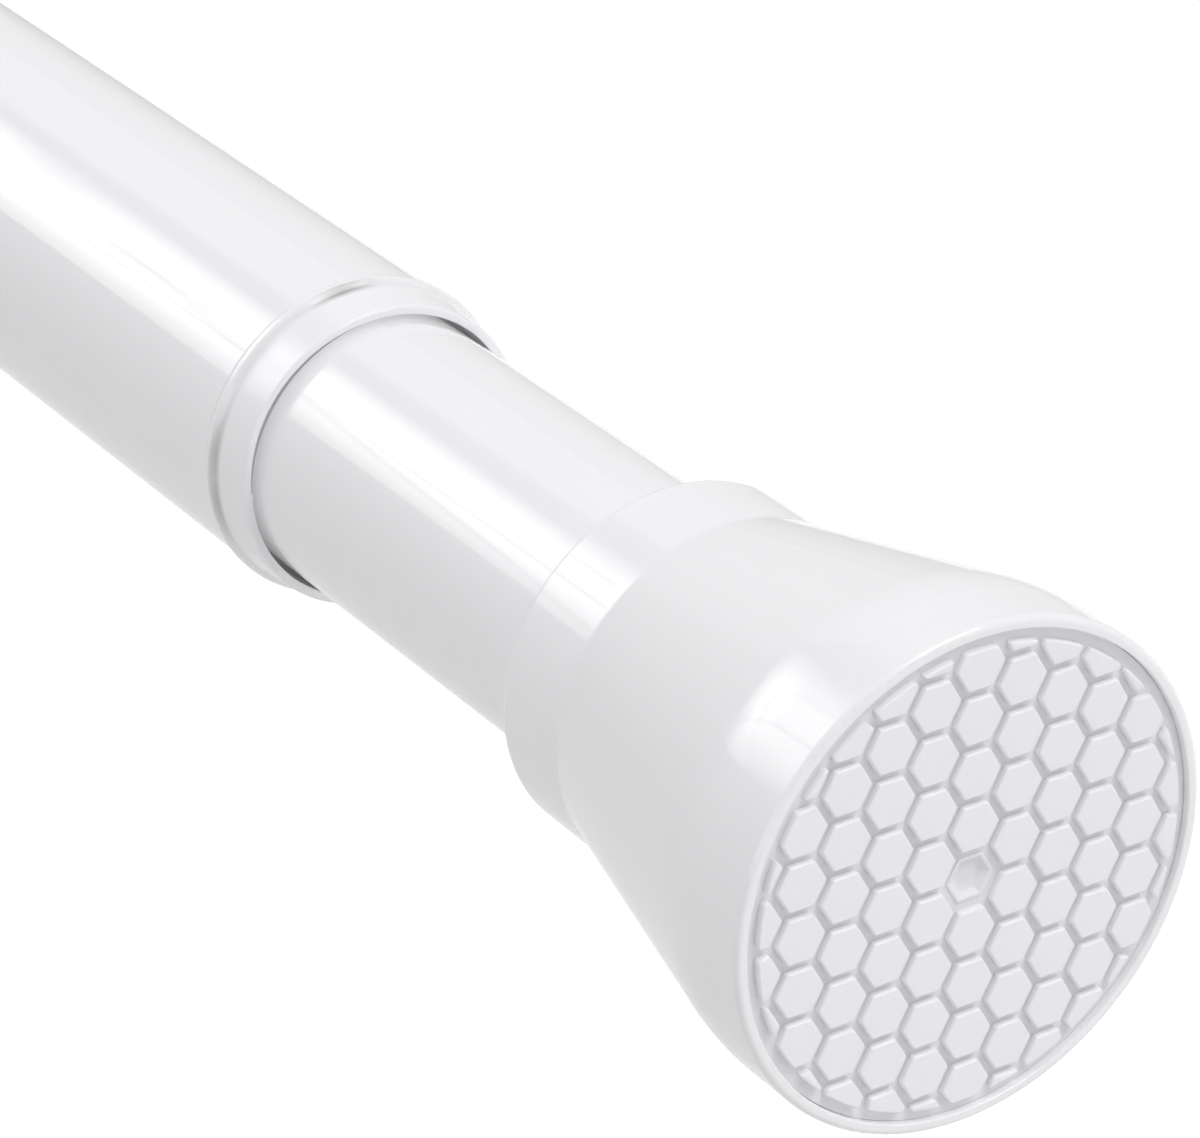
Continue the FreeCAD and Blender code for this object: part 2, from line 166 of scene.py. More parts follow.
# Where the softbox's glow rises from each of its edges, and the share that is left at the edge
TOP_GLOW = ((-0.02, 0.2), 0.22)
BOTTOM_GLOW = ((-0.02, 0.23), 0.38)
NEAR_GLOW = ((0.66, 0.78), 0.7)
FAR_GLOW = ((0.9, 0.84), 0.5)
SEAM_GLOW = 0.65

# How dark the slot between softbox and panel is, and how bright the low light is
SLOT_SHADE = 0.8
LOW_RADIANCE = 0.37

# The floor: its own shade, the light that it adds on one side, and how the camera sees it
FLOOR_PAPER = (0.48, 0.48, 0.48, 1.0)
FLOOR_LIFT = 0.5
FLOOR_SEEN = 1.05
FLOOR_SEEN_SHARE = 0.9
WHITE = (1.0, 1.0, 1.0, 1.0)

# The photograph's camera, measured from the middle of the sliding foot's face, in millimetres
CAMERA_FROM_FOOT = (222.96, -174.26, 169.35)
CAMERA_LOOKS = (-0.74337, 0.48430, -0.46116)
CAMERA_LENS = 151.58
CAMERA_CLIP = 0.01
SENSOR_WIDTH = 36.0


def low_high(node):
    """Lowest and highest corner of a solid, in metres."""
    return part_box(node)


FOOT_X = low_high("sliding_end_cap")[1].x
FOOT_R = low_high("sliding_end_cap")[1].y
OUTER_R = low_high("outer_tube")[1].y
INNER_R = low_high("inner_tube")[1].y
TUBE_END_X = low_high("outer_tube")[1].x


class Socket:
    """A shader value that takes part in Python arithmetic."""

    def __init__(self, shader, socket):
        self.shader = shader
        self.socket = socket

    def maths(self, operation, *others):
        inputs = {i: value for i, value in enumerate((self,) + others)}
        return self.shader.add("ShaderNodeMath", {"operation": operation}, inputs)[0]

    def flipped(self, operation, first):
        return self.shader.add("ShaderNodeMath", {"operation": operation}, {0: first, 1: self})[0]

    def __add__(self, other):
        return self.maths("ADD", other)

    def __radd__(self, other):
        return self.maths("ADD", other)

    def __sub__(self, other):
        return self.maths("SUBTRACT", other)

    def __rsub__(self, other):
        return self.flipped("SUBTRACT", other)

    def __mul__(self, other):
        return self.maths("MULTIPLY", other)

    def __rmul__(self, other):
        return self.maths("MULTIPLY", other)


class Node:
    """A shader node whose outputs are read as Socket values."""

    def __init__(self, shader, node):
        self.shader = shader
        self.node = node

    def __getitem__(self, output):
        return Socket(self.shader, self.node.outputs[output])


class Shader:
    """Builds one node tree: every node comes from add()."""

    def __init__(self, tree):
        self.tree = tree
        tree.nodes.clear()

    def add(self, kind, settings=None, inputs=None):
        node = self.tree.nodes.new(kind)
        for name, value in (settings or {}).items():
            setattr(node, name, value)
        for name, value in (inputs or {}).items():
            if isinstance(value, Socket):
                self.tree.links.new(value.socket, node.inputs[name])
            else:
                node.inputs[name].default_value = value
        return Node(self, node)


def new_material(name):
    material = bpy.data.materials.new(name)
    material.use_nodes = True
    return material, Shader(material.node_tree)


def surface(shader, inputs):
    """Light a material with one Principled shader."""
    principled = shader.add("ShaderNodeBsdfPrincipled", None, inputs)
    shader.add("ShaderNodeOutputMaterial", None, {"Surface": principled["BSDF"]})


def object_axes(shader):
    """The place on the object as X, Y and Z."""
    place = shader.add("ShaderNodeTexCoord")["Object"]
    return shader.add("ShaderNodeSeparateXYZ", None, {"Vector": place})


def object_noise(shader, scale, detail=3.0, roughness=0.5):
    place = shader.add("ShaderNodeTexCoord")["Object"]
    noise = shader.add("ShaderNodeTexNoise", None,
                       {"Vector": place, "Scale": scale, "Detail": detail, "Roughness": roughness})
    return noise["Fac"]


def bumped(shader, height, strength, depth):
    bump = shader.add("ShaderNodeBump", None, {"Height": height, "Strength": strength, "Distance": depth})
    return bump["Normal"]


def grey(shader, value):
    return shader.add("ShaderNodeCombineColor", None, {"Red": value, "Green": value, "Blue": value})[0]


def tinted(shader, colour, shade, spread):
    """A colour that darkens by as much as spread where shade is low."""
    amount = between(shade, 1.0 - spread, 1.0)
    mixed = shader.add("ShaderNodeMix", {"data_type": "RGBA", "blend_type": "MULTIPLY"},
                       {"Factor": 1.0, "A": (*colour, 1.0), "B": grey(shader, amount)})
    return mixed[2]


def between(value, least, most):
    """A value from nothing to one, laid out between two others."""
    return value * (most - least) + least


def smooth_step(shader, value, nothing, full):
    """Nothing at one value, one at another, and a soft rise between them."""
    ranged = shader.add("ShaderNodeMapRange", {"interpolation_type": "SMOOTHSTEP"},
                        {"Value": value, "From Min": nothing, "From Max": full})
    return ranged["Result"]


def near(shader, value, middle, width):
    """One at a middle value, falling to nothing a width away from it."""
    return smooth_step(shader, (value - middle).maths("ABSOLUTE"), width, 0.0)


def tube_paint(colours):
    """White enamel: nearly mirror smooth, with a trace of orange peel."""
    material, shader = new_material("tube_paint")
    broad = object_noise(shader, scale=45.0)
    peel = object_noise(shader, scale=900.0, detail=2.0)
    surface(shader, {
        "Base Color": tinted(shader, colours.tube_white, broad, spread=0.01),
        "Roughness": between(broad, 0.035, 0.055),
        "Normal": bumped(shader, peel, strength=0.015, depth=0.02 * MM),
        "IOR": 1.5,
    })
    return material


def cap_plastic(colours):
    """Moulded white plastic with a polished skin and a very slight flow pattern."""
    material, shader = new_material("cap_plastic")
    flow = object_noise(shader, scale=60.0, detail=4.0)
    skin = object_noise(shader, scale=500.0, detail=2.0)
    surface(shader, {
        "Base Color": tinted(shader, colours.cap_white, flow, spread=0.012),
        "Roughness": between(flow, 0.025, 0.045),
        "Normal": bumped(shader, skin, strength=0.01, depth=0.02 * MM),
        "IOR": 1.5,
    })
    return material


def pad_rubber(colours):
    """Soft satin pad with a fine matt grain, and painted shade that darkens the bottom of its grooves."""
    material, shader = new_material("pad_rubber")
    groove = bpy.context.scene.rod_pads.groove
    grain = object_noise(shader, scale=5000.0, detail=4.0, roughness=0.7)
    broad = object_noise(shader, scale=120.0)
    half = FOOT_X / 2
    from_middle = (object_axes(shader)["X"] - half).maths("ABSOLUTE")
    # Painted shade: the colour darkens towards the bottom of the grooves, where the neighbouring tiles shade
    # them
    height = smooth_step(shader, from_middle, half - groove, half - groove * GROOVE_PAINTED_SHADE_TOP)
    surface(shader, {
        "Base Color": tinted(shader, colours.pad_white,
                             broad * CLOUD_SHARE + height * (1.0 - CLOUD_SHARE), spread=0.1),
        "Roughness": between(grain, 0.26, 0.34),
        "Normal": bumped(shader, grain, strength=0.15, depth=0.01 * MM),
        "IOR": 1.45,
    })
    return material


def painted_collar_shade(shader):
    """The clear collar's colour with painted shade: dark lines for light that its edges bend away, and for
    the shade in its crease and mouth.
    """
    sizes = bpy.context.scene.rod_collar
    front_x = low_high("clear_collar")[1].x
    crease_x = TUBE_END_X + COLLAR_RIM_WIDTH + sizes.groove_width
    mouth_r = sizes.mouth_d / 2
    axes = object_axes(shader)
    along = axes["X"]
    radius = (axes["Y"] * axes["Y"] + axes["Z"] * axes["Z"]).maths("SQRT")
    angle = axes["Z"].maths("ARCTAN2", axes["Y"])
    upper = near(shader, angle, *map(math.radians, UPPER_LINE))
    front = near(shader, angle.maths("ABSOLUTE"), *map(math.radians, FRONT_LINE))
    # Painted shade: a dark crease behind the rim, a dark crescent on the front face and a dark mouth wall,
    # for refraction and for shade in the gap
    painted_crease_shade = near(shader, along, crease_x, CREASE_REACH) * (upper * CREASE_UPPER + front + CREASE_LEAST)
    face = smooth_step(shader, along, front_x - FACE_START, front_x - FACE_FULL)
    inner = radius - near(shader, angle, *map(math.radians, CRESCENT)) * CRESCENT_WIDTH
    painted_crescent_shade = smooth_step(shader, inner, mouth_r + CRESCENT_EDGE, mouth_r - CRESCENT_EDGE) * face
    mouth = smooth_step(shader, radius, mouth_r + MOUTH_START, mouth_r + MOUTH_FULL) * (1.0 - face)
    return ((1.0 - painted_crease_shade * CREASE_PAINTED_SHADE) * (1.0 - painted_crescent_shade * CRESCENT_PAINTED_SHADE)
            * (1.0 - mouth * MOUTH_PAINTED_SHADE))


def clear_plastic(colours):
    """Clear moulded plastic: pale and glossy, with painted shade lines, and open to the light that other
    things get.
    """
    material, shader = new_material("clear_plastic")
    broad = object_noise(shader, scale=80.0)
    lit = shader.add("ShaderNodeBsdfPrincipled", None, {
        # The colour carries the collar's painted shade lines
        "Base Color": tinted(shader, colours.clear_tint, painted_collar_shade(shader), spread=1.0),
        "Roughness": between(broad, 0.03, 0.05),
        "Transmission Weight": 0.1,
        "IOR": 1.49,
    })
    through = shader.add("ShaderNodeBsdfTransparent", None, {"Color": CLEAR_FILTER})
    ray = shader.add("ShaderNodeLightPath")
    passing = ray["Is Shadow Ray"].maths("MAXIMUM", ray["Is Diffuse Ray"]) * LIGHT_PASSED
    mixed = shader.add("ShaderNodeMixShader", None, {0: passing, 1: lit["BSDF"], 2: through[0]})
    shader.add("ShaderNodeOutputMaterial", None, {"Surface": mixed[0]})
    return material


def nylon(colours):
    """Plain moulded nylon of the pieces inside."""
    material, shader = new_material("nylon")
    grain = object_noise(shader, scale=1500.0)
    surface(shader, {
        "Base Color": tinted(shader, colours.nylon_white, grain, spread=0.05),
        "Roughness": between(grain, 0.35, 0.45),
        "Normal": bumped(shader, grain, strength=0.1, depth=0.02 * MM),
    })
    return material


def black_rubber(colours):
    """Matt black rubber of the brake ring."""
    material, shader = new_material("black_rubber")
    grain = object_noise(shader, scale=2500.0)
    surface(shader, {
        "Base Color": tinted(shader, colours.ring_black, grain, spread=0.2),
        "Roughness": between(grain, 0.5, 0.65),
        "Normal": bumped(shader, grain, strength=0.2, depth=0.02 * MM),
    })
    return material


def steel(colours):
    """Zinc plated steel with drawn lines along its length."""
    material, shader = new_material("steel")
    place = shader.add("ShaderNodeTexCoord")["Object"]
    stretched = shader.add("ShaderNodeMapping", None, {"Vector": place, "Scale": DRAWN_LINES})
    lines = shader.add("ShaderNodeTexNoise", None,
                       {"Vector": stretched["Vector"], "Scale": 1.0, "Detail": 3.0})["Fac"]
    surface(shader, {
        "Base Color": tinted(shader, colours.steel_grey, lines, spread=0.15),
        "Metallic": 1.0,
        "Roughness": between(lines, 0.22, 0.37),
        "Normal": bumped(shader, lines, strength=0.1, depth=0.02 * MM),
    })
    return material


MATERIALS = {
    "tube_paint": tube_paint,
    "cap_plastic": cap_plastic,
    "pad_rubber": pad_rubber,
    "clear_plastic": clear_plastic,
    "nylon": nylon,
    "black_rubber": black_rubber,
    "steel": steel,
}
MADE = {}


def finish_named(name):
    """The finish of a material slot, made when it is first asked for."""
    if name not in MADE:
        MADE[name] = MATERIALS[name](bpy.context.scene.rod_colours)
    return MADE[name]


def dress(node, name):
    """Give a solid its finish and leave its mesh as it is."""
    mesh = frame["nodes"][node].data
    mesh.materials.clear()
    mesh.materials.append(finish_named(name))


def deselect_all():
    if bpy.context.object and bpy.context.object.mode != "OBJECT":
        bpy.ops.object.mode_set(mode="OBJECT")
    bpy.ops.object.select_all(action="DESELECT")


def finish_edit():
    """Close the seams, turn the faces outwards and leave edit mode."""
    bpy.ops.mesh.select_all(action="SELECT")
    bpy.ops.mesh.remove_doubles(threshold=WELD)
    bpy.ops.mesh.normals_make_consistent(inside=False)
    bpy.ops.object.mode_set(mode="OBJECT")


def applied(piece, kind, **settings):
    """Give a piece a modifier and apply it."""
    bpy.context.view_layer.objects.active = piece
    modifier = piece.modifiers.new(kind.lower(), kind)
    for name, value in settings.items():
        setattr(modifier, name, value)
    bpy.ops.object.modifier_apply(modifier=modifier.name)


def settled(piece, name, slot, body, nodes):
    """Name a finished piece, give it its finish and let it stand for its solids."""
    deselect_all()
    piece.select_set(True)
    bpy.context.view_layer.objects.active = piece
    bpy.ops.object.transform_apply(location=True, rotation=True, scale=True)
    piece.name = name
    piece.data.name = name
    piece.data.materials.clear()
    piece.data.materials.append(finish_named(slot))
    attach(piece, body)
    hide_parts(*nodes)


def rounded(corners):
    """Points (x, radius) of a profile whose corners (x, radius, rounding) become short arcs."""
    points = []
    count = len(corners)
    for i in range(count):
        here = Vector(corners[i][:2])
        rounding = corners[i][2]
        if rounding == 0.0:
            points.append(here)
            continue
        back = (Vector(corners[i - 1][:2]) - here).normalized()
        ahead = (Vector(corners[(i + 1) % count][:2]) - here).normalized()
        half = back.angle(ahead) / 2
        centre = here + (back + ahead).normalized() * (rounding / math.sin(half))
        first = here + back * (rounding / math.tan(half)) - centre
        last = here + ahead * (rounding / math.tan(half)) - centre
        turn = first.angle(last)
        steps = max(2, math.ceil(turn / ARC_STEP))
        for j in range(steps + 1):
            done = j / steps * turn
            spoke = (first * math.sin(turn - done) + last * math.sin(done)) / math.sin(turn)
            points.append(centre + spoke)
    return points


def turned(corners):
    """Spin a closed profile of (x, radius, rounding) about the rod's axis."""
    points = rounded(corners)
    deselect_all()
    bpy.ops.mesh.primitive_plane_add(size=MM, location=(points[0].x, 0.0, points[0].y))
    piece = bpy.context.object
    bpy.ops.object.transform_apply(location=True, rotation=True, scale=True)
    bpy.ops.object.mode_set(mode="EDIT")
    bpy.ops.mesh.select_mode(type="VERT")
    bpy.ops.mesh.select_all(action="SELECT")
    bpy.ops.mesh.merge(type="CENTER")
    for before, after in zip(points, points[1:]):
        step = after - before
        bpy.ops.mesh.extrude_region_move(TRANSFORM_OT_translate={"value": (step.x, 0.0, step.y)})
    bpy.ops.mesh.select_all(action="DESELECT")
    bpy.ops.object.mode_set(mode="OBJECT")
    last = len(piece.data.vertices) - 1
    for vertex in piece.data.vertices:
        vertex.select = vertex.index in (0, last)
    bpy.ops.object.mode_set(mode="EDIT")
    bpy.ops.mesh.edge_face_add()
    bpy.ops.mesh.select_all(action="SELECT")
    bpy.ops.mesh.spin(steps=TURNED_STEPS, angle=math.tau, center=(0.0, 0.0, 0.0), axis=(1.0, 0.0, 0.0))
    finish_edit()
    bpy.ops.object.shade_smooth_by_angle(angle=SHARP_EDGE)
    return piece


class RodColours(bpy.types.PropertyGroup):
    tube_white: bpy.props.FloatVectorProperty(
        name="Tube white", description="Enamel of both tubes", subtype="COLOR",
        size=3, min=0.0, max=1.0, default=(0.885, 0.885, 0.903))
    cap_white: bpy.props.FloatVectorProperty(
        name="Foot white", description="Plastic of both bell caps", subtype="COLOR",
        size=3, min=0.0, max=1.0, default=(0.885, 0.885, 0.903))
    pad_white: bpy.props.FloatVectorProperty(
        name="Pad white", description="Soft honeycomb pads", subtype="COLOR",
        size=3, min=0.0, max=1.0, default=(0.875, 0.875, 0.893))
    clear_tint: bpy.props.FloatVectorProperty(
        name="Clear tint", description="Clear collar", subtype="COLOR",
        size=3, min=0.0, max=1.0, default=(0.965, 0.965, 0.985))
    nylon_white: bpy.props.FloatVectorProperty(
        name="Nylon", description="Hidden moulded pieces", subtype="COLOR",
        size=3, min=0.0, max=1.0, default=(0.78, 0.76, 0.70))
    ring_black: bpy.props.FloatVectorProperty(
        name="Brake ring", description="Rubber ring of the lock", subtype="COLOR",
        size=3, min=0.0, max=1.0, default=(0.02, 0.02, 0.02))
    steel_grey: bpy.props.FloatVectorProperty(
        name="Steel", description="Spindle, clips and spring", subtype="COLOR",
        size=3, min=0.0, max=1.0, default=(0.66, 0.66, 0.67))


class RodPads(bpy.types.PropertyGroup):
    pitch: bpy.props.FloatProperty(
        name="Tile pitch", description="Distance from one honeycomb tile to the next",
        default=3.95 * MM, subtype="DISTANCE", unit="LENGTH")
    gap: bpy.props.FloatProperty(
        name="Tile gap", description="Width of the grooves between the tiles",
        default=0.62 * MM, subtype="DISTANCE", unit="LENGTH")
    groove: bpy.props.FloatProperty(
        name="Groove depth", description="How far the grooves lie below the tiles' faces",
        default=0.55 * MM, subtype="DISTANCE", unit="LENGTH")
    edge: bpy.props.FloatProperty(
        name="Tile edge", description="Rounding of the tiles' edges",
        default=0.15 * MM, subtype="DISTANCE", unit="LENGTH")
    inset: bpy.props.FloatProperty(
        name="Field inset", description="From the foot's rim to the edge of the round tile field",
        default=0.85 * MM, subtype="DISTANCE", unit="LENGTH")
    rim: bpy.props.FloatProperty(
        name="Rim", description="Width of the foot's rim round the pad",
        default=0.87 * MM, subtype="DISTANCE", unit="LENGTH")
    thickness: bpy.props.FloatProperty(
        name="Thickness", description="From the tiles' faces to the back of the pad",
        default=2.2 * MM, subtype="DISTANCE", unit="LENGTH")
    cell_drop: bpy.props.FloatProperty(
        name="Cell drop", description="How far the middle cell's ridge lies below the tiles' faces",
        default=0.42 * MM, subtype="DISTANCE", unit="LENGTH")
    cell_ridge: bpy.props.FloatProperty(
        name="Cell ridge", description="Width of the ridge round the middle cell",
        default=0.25 * MM, subtype="DISTANCE", unit="LENGTH")
    cell_depth: bpy.props.FloatProperty(
        name="Cell depth", description="Depth of the middle cell below its ridge",
        default=0.48 * MM, subtype="DISTANCE", unit="LENGTH")


class RodCollar(bpy.types.PropertyGroup):
    rim_d: bpy.props.FloatProperty(
        name="Rim diameter", description="Rounded rim against the end of the outer tube",
        default=25.94 * MM, subtype="DISTANCE", unit="LENGTH")
    groove_d: bpy.props.FloatProperty(
        name="Groove diameter", description="Bottom of the groove in front of the rim",
        default=25.2 * MM, subtype="DISTANCE", unit="LENGTH")
    groove_width: bpy.props.FloatProperty(
        name="Groove width", description="From the rim to the bottom of the groove",
        default=0.3 * MM, subtype="DISTANCE", unit="LENGTH")
    waist_d: bpy.props.FloatProperty(
        name="Waist diameter", description="Collar in front of the groove",
        default=24.72 * MM, subtype="DISTANCE", unit="LENGTH")
    waist_inset: bpy.props.FloatProperty(
        name="Waist inset", description="From the collar's front edge back to its waist",
        default=2.35 * MM, subtype="DISTANCE", unit="LENGTH")
    waist_round: bpy.props.FloatProperty(
        name="Waist rounding", description="Radius of the hollow curve at the waist",
        default=8.0 * MM, subtype="DISTANCE", unit="LENGTH")
    nose_d: bpy.props.FloatProperty(
        name="Nose diameter", description="Outside of the collar's front edge",
        default=24.44 * MM, subtype="DISTANCE", unit="LENGTH")
    mouth_d: bpy.props.FloatProperty(
        name="Mouth diameter", description="Wider opening in front of the running bore",
        default=23.0 * MM, subtype="DISTANCE", unit="LENGTH")
    mouth_depth: bpy.props.FloatProperty(
        name="Mouth depth", description="How deep the wider opening goes",
        default=3.0 * MM, subtype="DISTANCE", unit="LENGTH")
    mouth_taper: bpy.props.FloatProperty(
        name="Mouth taper", description="Length of the cone from the mouth to the running bore",
        default=0.5 * MM, subtype="DISTANCE", unit="LENGTH")


class RodSpring(bpy.types.PropertyGroup):
    wire_d: bpy.props.FloatProperty(
        name="Wire", description="Diameter of the spring's wire",
        default=1.4 * MM, subtype="DISTANCE", unit="LENGTH")
    mean_d: bpy.props.FloatProperty(
        name="Mean diameter", description="Diameter of the circle that the wire's middle follows",
        default=16.0 * MM, subtype="DISTANCE", unit="LENGTH")
    turns: bpy.props.IntProperty(
        name="Turns", description="All turns of the spring, closed ends included", default=9, min=3)
    closed_turns: bpy.props.FloatProperty(
        name="Closed turns", description="Turns at each end that lie against their neighbour",
        default=0.8, min=0.0)
    opening_turns: bpy.props.FloatProperty(
        name="Opening turns", description="Part of a turn in which the pitch opens",
        default=0.7, min=0.1)


class RodLights(bpy.types.PropertyGroup):
    softbox: bpy.props.FloatProperty(
        name="Softbox", description="Radiance at the middle of the softbox",
        default=4.6, min=0.0)
    softbox_bottom: bpy.props.FloatProperty(
        name="Softbox bottom", description="Angle about the rod where the softbox ends, in degrees",
        default=154.6)
    panel: bpy.props.FloatProperty(
        name="Back panel", description="Radiance of the pale panel above and behind",
        default=0.64, min=0.0)
    dark: bpy.props.FloatProperty(
        name="Dim side", description="Radiance of the unlit side of the studio",
        default=0.484, min=0.0)
    fill: bpy.props.FloatProperty(
        name="Fill light", description="Radiance of the wide soft light at the rod's side",
        default=1.54, min=0.0)
    edge: bpy.props.FloatProperty(
        name="Edge light", description="Radiance of the small light that draws the pads' edges",
        default=5.5, min=0.0)
    floor_drop: bpy.props.FloatProperty(
        name="Floor drop", description="How far the floor is below the rod's axis",
        default=0.6, min=0.02, subtype="DISTANCE", unit="LENGTH")
    floor_radius: bpy.props.FloatProperty(
        name="Floor radius", description="Radius of the round floor",
        default=2.3, min=0.5, subtype="DISTANCE", unit="LENGTH")


class ROD_OT_finish_solids(bpy.types.Operator):
    """Give every solid its finish"""
    bl_idname = "rod.finish_solids"
    bl_label = "Finish solids"

    def execute(self, context):
        for entry in frame["record"]["subparts"]:
            dress(entry["node"], entry["material_slot"])
        return {"FINISHED"}


def corner_radius(flats):
    """From the middle of a hexagon to its corners, given the width across its flats."""
    return flats / math.sqrt(3.0)


def hexagonal(flats, x_back, x_front):
    """A six-sided block along the rod with flats facing up and down."""
    corner_r = corner_radius(flats)
    bpy.ops.mesh.primitive_cone_add(
        vertices=6, radius1=corner_r, radius2=corner_r, depth=x_front - x_back,
        location=((x_back + x_front) / 2, 0.0, 0.0), rotation=(0.0, math.pi / 2, 0.0))
    bpy.ops.object.transform_apply(location=True, rotation=True, scale=True)
    return bpy.context.object


def disc(radius, x_back, x_front):
    """A round block along the rod."""
    bpy.ops.mesh.primitive_cylinder_add(
        vertices=TURNED_STEPS, radius=radius, depth=x_front - x_back,
        location=((x_back + x_front) / 2, 0.0, 0.0), rotation=(0.0, math.pi / 2, 0.0))
    bpy.ops.object.transform_apply(location=True, rotation=True, scale=True)
    return bpy.context.object


def joined(pieces):
    deselect_all()
    for piece in pieces:
        piece.select_set(True)
    bpy.context.view_layer.objects.active = pieces[0]
    bpy.ops.object.join()
    return pieces[0]


def combined(piece, other, operation):
    """Boolean of two closed pieces, of which the second is used up."""
    applied(piece, "BOOLEAN", operation=operation, object=other, solver="EXACT")
    bpy.data.objects.remove(other)
    return piece


def pick_faces(piece, wanted):
    """Go to face edit mode with only those faces selected whose normal passes the test."""
    bpy.ops.object.mode_set(mode="OBJECT")
    mesh = piece.data
    for vertex in mesh.vertices:
        vertex.select = False
    for edge in mesh.edges:
        edge.select = False
    for face in mesh.polygons:
        face.select = wanted(face.normal)
    bpy.ops.object.mode_set(mode="EDIT")
    bpy.ops.mesh.select_mode(type="FACE")


def tile_places(pads, field_r):
    """Middles of the honeycomb tiles that reach into the round field, without the middle one."""
    column_step = pads.pitch * math.cos(math.radians(30.0))
    columns = int(field_r / column_step) + SPARE_COLUMNS
    reach = field_r + pads.pitch / 2 - SMALLEST_TILE
    places = []
    for column in range(-columns, columns + 1):
        for row in range(-columns, columns + 1):
            y = column * column_step
            z = (row + (column % 2) / 2) * pads.pitch
            if (column, row) != (0, 0) and math.hypot(y, z) < reach:
                places.append((y, z))
    return places


def copied_to(piece, y, z):
    """A copy of a piece with its own mesh, moved sideways."""
    copy = piece.copy()
    copy.data = piece.data.copy()
    copy.data.transform(Matrix.Translation((0.0, y, z)))
    bpy.context.collection.objects.link(copy)
    return copy


def softened(piece, width):
    """Round all sharp edges of a piece a little."""
    applied(piece, "BEVEL", width=width, segments=EDGE_SEGMENTS,
            limit_method="ANGLE", angle_limit=SHARP_EDGE)
    return piece


def cut_tile(tile, pads, field_r):
    """A tile cut by the round field, in a list that is empty where the tile lies outside it."""
    deselect_all()
    combined(tile, disc(field_r, -pads.thickness, pads.thickness), "INTERSECT")
    if not tile.data.vertices:
        bpy.data.objects.remove(tile)
        return []
    deselect_all()
    tile.select_set(True)
    bpy.context.view_layer.objects.active = tile
    bpy.ops.object.mode_set(mode="EDIT")
    bpy.ops.mesh.select_all(action="SELECT")
    bpy.ops.mesh.remove_doubles(threshold=SHORTEST_EDGE)
    bpy.ops.object.mode_set(mode="OBJECT")
    return [softened(tile, pads.edge)]


def tile_field(pads, field_r):
    """All tiles of one pad; those over the edge of the round field are cut."""
    deselect_all()
    flats = pads.pitch - pads.gap
    sharp = hexagonal(flats, -pads.thickness / 2, 0.0)
    soft = softened(copied_to(sharp, 0.0, 0.0), pads.edge)
    tiles = []
    for y, z in tile_places(pads, field_r):
        if math.hypot(y, z) + corner_radius(flats) < field_r:
            tiles.append(copied_to(soft, y, z))
        else:
            tiles += cut_tile(copied_to(sharp, y, z), pads, field_r)
    bpy.data.objects.remove(sharp)
    bpy.data.objects.remove(soft)
    return joined(tiles)


def middle_cell(pads):
    """The sunken middle cell: a thin six-sided ridge round a rounded hollow."""
    deselect_all()
    cell = hexagonal(pads.pitch - pads.gap, -pads.thickness * CELL_BASE_DEPTH, -pads.cell_drop)
    pick_faces(cell, lambda normal: normal.x > FACING)
    bpy.ops.mesh.inset(thickness=pads.cell_ridge)
    bpy.ops.mesh.extrude_region_move(TRANSFORM_OT_translate={"value": (-pads.cell_depth, 0.0, 0.0)})
    bpy.ops.transform.resize(value=(1.0, CELL_TAPER, CELL_TAPER))
    bpy.ops.mesh.bevel(offset=pads.cell_depth * HOLLOW_ROUNDING, segments=CELL_SEGMENTS)
    bpy.ops.object.mode_set(mode="OBJECT")
    return softened(cell, pads.cell_ridge * RIDGE_ROUNDING)


def make_pad(pads, spigot_r):
    """One pad with its face at x = 0, looking along +X."""
    rim_inner_r = FOOT_R - pads.rim
    field = tile_field(pads, rim_inner_r - pads.inset)
    deselect_all()
    pad = disc(rim_inner_r - PAD_FREEDOM, -pads.thickness, -pads.groove)
    pick_faces(pad, lambda normal: normal.x < -FACING)
    bpy.ops.mesh.inset(thickness=rim_inner_r - PAD_FREEDOM - spigot_r)
    bpy.ops.mesh.extrude_region_move(TRANSFORM_OT_translate={"value": (-SPIGOT_LENGTH, 0.0, 0.0)})
    bpy.ops.mesh.inset(thickness=SPIGOT_WALL)
    bpy.ops.mesh.extrude_region_move(TRANSFORM_OT_translate={"value": (SPIGOT_LENGTH, 0.0, 0.0)})
    bpy.ops.object.mode_set(mode="OBJECT")
    pad = combined(softened(pad, PAD_FREEDOM), field, "UNION")
    deselect_all()
    room = hexagonal(pads.pitch - 2 * pads.gap, -pads.thickness * CELL_ROOM_DEPTH, 0.0)
    pad = joined([combined(pad, room, "DIFFERENCE"), middle_cell(pads)])
    bpy.ops.object.shade_smooth_by_angle(angle=SHARP_PAD_EDGE)
    applied(pad, "WEIGHTED_NORMAL", keep_sharp=True)
    return pad


class ROD_OT_foot_pads(bpy.types.Operator):
    """Mould the soft honeycomb pad of each foot"""
    bl_idname = "rod.foot_pads"
    bl_label = "Foot pads"

    def execute(self, context):
        pads = context.scene.rod_pads
        sliding = make_pad(pads, INNER_R - SPIGOT_INSET)
        sliding.location.x = FOOT_X
        settled(sliding, "sliding_pad", "pad_rubber", "inner", ["sliding_end_pad"])
        fixed = make_pad(pads, OUTER_R - SPIGOT_INSET)
        fixed.rotation_euler.z = math.pi
        settled(fixed, "fixed_pad", "pad_rubber", "outer", ["fixed_end_pad"])
        return {"FINISHED"}


